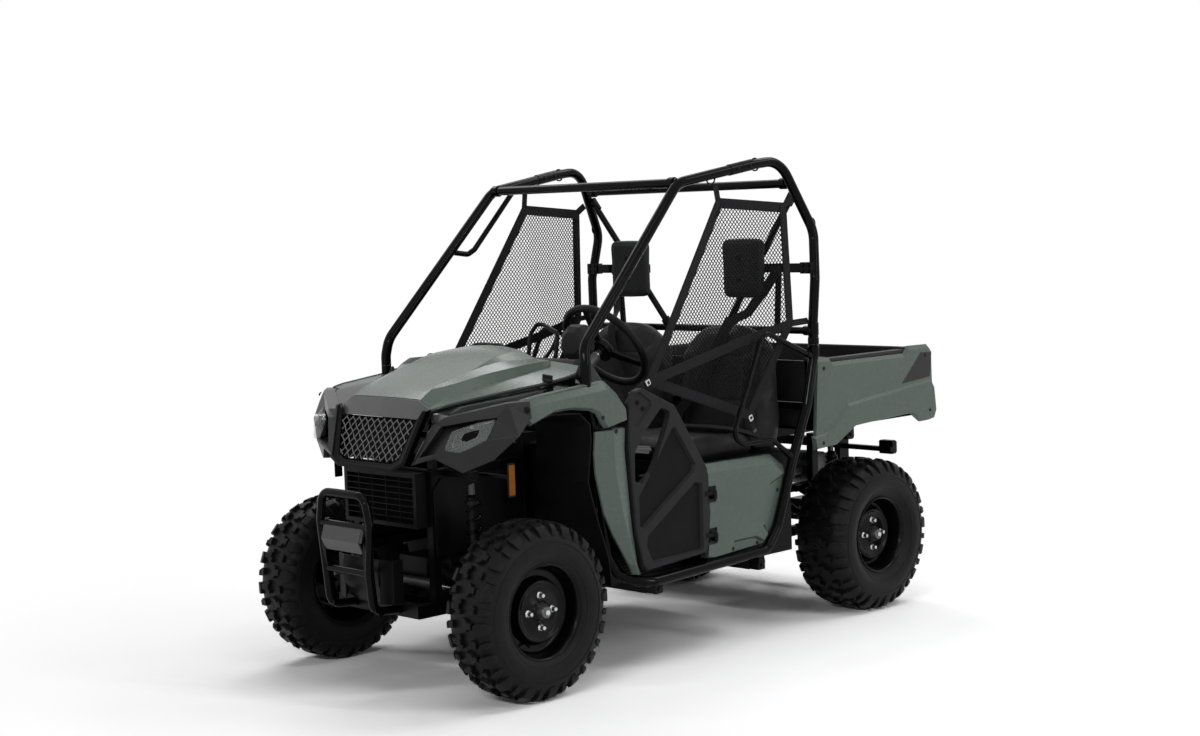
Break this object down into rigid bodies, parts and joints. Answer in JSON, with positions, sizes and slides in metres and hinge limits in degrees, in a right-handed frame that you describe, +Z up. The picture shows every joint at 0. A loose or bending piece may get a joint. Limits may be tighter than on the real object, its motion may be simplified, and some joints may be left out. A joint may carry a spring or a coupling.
{
  "type": "side by side utility vehicle",
  "caption": "Open two-seat side by side utility vehicle with tube roll cage, side nets, half doors, dump bed with tailgate, coil-over suspension and knobby tyres",
  "frame": {"origin": "on the ground, below the middle of the overall length and width, with the vehicle standing on its tyres", "axes": "+Z up; the nose points to -Y and the tail to +Y; +X is the driver (left) side"},
  "size_m": [1.27, 2.638, 1.8172],
  "materials": {
    "frame_paint": "satin black frame paint",
    "gloss_black": "gloss black tube paint",
    "green_paint": "satin sage green moulded-in colour",
    "black_plastic": "textured matte black plastic",
    "gloss_plastic": "gloss black plastic",
    "seat_vinyl": "grained black vinyl",
    "net_webbing": "black woven webbing and net",
    "lamp_chrome": "bright reflector behind a clear lens",
    "cast_metal": "cast housing",
    "bright_steel": "zinc plated steel",
    "black_rubber": "soft moulded rubber",
    "red_lens": "red lens",
    "amber_lens": "amber reflector",
    "tyre": "tyre rubber",
    "wheel_steel": "satin black wheel paint"
  },
  "bodies": {
    "chassis": {"main_frame": "frame_paint", "sill_rails": "gloss_black", "roll_cage": "gloss_black", "head_restraints": "seat_vinyl", "seat_base": "black_plastic", "seat_cushions": "seat_vinyl", "seat_backs": "seat_vinyl", "hip_panels": "green_paint", "front_fenders": "green_paint", "arch_liners": "black_plastic", "nose_panel": "black_plastic", "grille": "gloss_plastic", "headlight_bezels": "black_plastic", "headlamps": "lamp_chrome", "brush_guard": "gloss_black", "radiator": "frame_paint", "skid_plate": "black_plastic", "floor_pan": "black_plastic", "dashboard": "black_plastic", "steering_column": "frame_paint", "side_nets": "net_webbing", "seat_belts": "net_webbing", "engine": "cast_metal", "exhaust": "cast_metal", "final_drives": "cast_metal", "suspension_arms": "frame_paint", "shocks": "frame_paint", "hitch_receiver": "gloss_black", "tail_lamps": "red_lens", "side_reflectors": "amber_lens"},
    "hood": {"hood": "green_paint"},
    "steering_wheel": {"steering_wheel": "black_rubber"},
    "steering_rack": {"tie_rods": "bright_steel"},
    "left_knuckle": {"left_knuckle": "cast_metal"},
    "right_knuckle": {"right_knuckle": "cast_metal"},
    "left_door": {"left_door": "black_plastic"},
    "right_door": {"right_door": "black_plastic"},
    "bed": {"bed_tub": "black_plastic", "bed_sides": "green_paint"},
    "tailgate": {"tailgate": "black_plastic"},
    "front_left_wheel": {"front_left_tyre": "tyre", "front_left_rim": "wheel_steel"},
    "front_right_wheel": {"front_right_tyre": "tyre", "front_right_rim": "wheel_steel"},
    "rear_left_wheel": {"rear_left_tyre": "tyre", "rear_left_rim": "wheel_steel"},
    "rear_right_wheel": {"rear_right_tyre": "tyre", "rear_right_rim": "wheel_steel"}
  },
  "joints": [
    {"name": "left_steer", "type": "hinge", "parent": "chassis", "child": "left_knuckle", "pos_m": [0.45, -0.942, 0.305], "axis": [0, 0, 1], "range_deg": [-28, 28]},
    {"name": "right_steer", "type": "hinge", "parent": "chassis", "child": "right_knuckle", "pos_m": [-0.45, -0.942, 0.305], "axis": [0, 0, 1], "range_deg": [-28, 28]},
    {"name": "steering_wheel_turn", "type": "hinge", "parent": "chassis", "child": "steering_wheel", "pos_m": [0.31, -0.315, 1.146], "axis": [0, 0.8192, 0.5736], "range_deg": [-252, 252]},
    {"name": "rack_slide", "type": "slide", "parent": "chassis", "child": "steering_rack", "axis": [1, 0, 0], "range_m": [-0.0407, 0.0407]},
    {"name": "front_left_spin", "type": "hinge", "parent": "left_knuckle", "child": "front_left_wheel", "pos_m": [0.532, -0.942, 0.305], "axis": [1, 0, 0], "continuous": true},
    {"name": "rear_left_spin", "type": "hinge", "parent": "chassis", "child": "rear_left_wheel", "pos_m": [0.507, 0.912, 0.305], "axis": [1, 0, 0], "continuous": true},
    {"name": "front_right_spin", "type": "hinge", "parent": "right_knuckle", "child": "front_right_wheel", "pos_m": [-0.532, -0.942, 0.305], "axis": [1, 0, 0], "continuous": true},
    {"name": "rear_right_spin", "type": "hinge", "parent": "chassis", "child": "rear_right_wheel", "pos_m": [-0.507, 0.912, 0.305], "axis": [1, 0, 0], "continuous": true},
    {"name": "left_door_swing", "type": "hinge", "parent": "chassis", "child": "left_door", "pos_m": [0.606, -0.071, 0.513], "axis": [0, 0, 1], "range_deg": [0, 75]},
    {"name": "right_door_swing", "type": "hinge", "parent": "chassis", "child": "right_door", "pos_m": [-0.606, -0.071, 0.513], "axis": [0, 0, -1], "range_deg": [0, 75]},
    {"name": "hood_lift", "type": "hinge", "parent": "chassis", "child": "hood", "pos_m": [0, -1.111, 1.034], "axis": [1, 0, 0], "range_deg": [0, 55]},
    {"name": "bed_tilt", "type": "hinge", "parent": "chassis", "child": "bed", "pos_m": [0, 1.185, 0.66], "axis": [-1, 0, 0], "range_deg": [0, 45]},
    {"name": "tailgate_drop", "type": "hinge", "parent": "bed", "child": "tailgate", "pos_m": [0, 1.309, 0.772], "axis": [-1, 0, 0], "range_deg": [0, 88]}
  ],
  "couplings": [
    {"joint": "right_steer", "follows": "left_steer", "ratio": 1},
    {"joint": "steering_wheel_turn", "follows": "left_steer", "ratio": 9},
    {"joint": "rack_slide", "follows": "left_steer", "m_per_rad": 0.083}
  ]
}
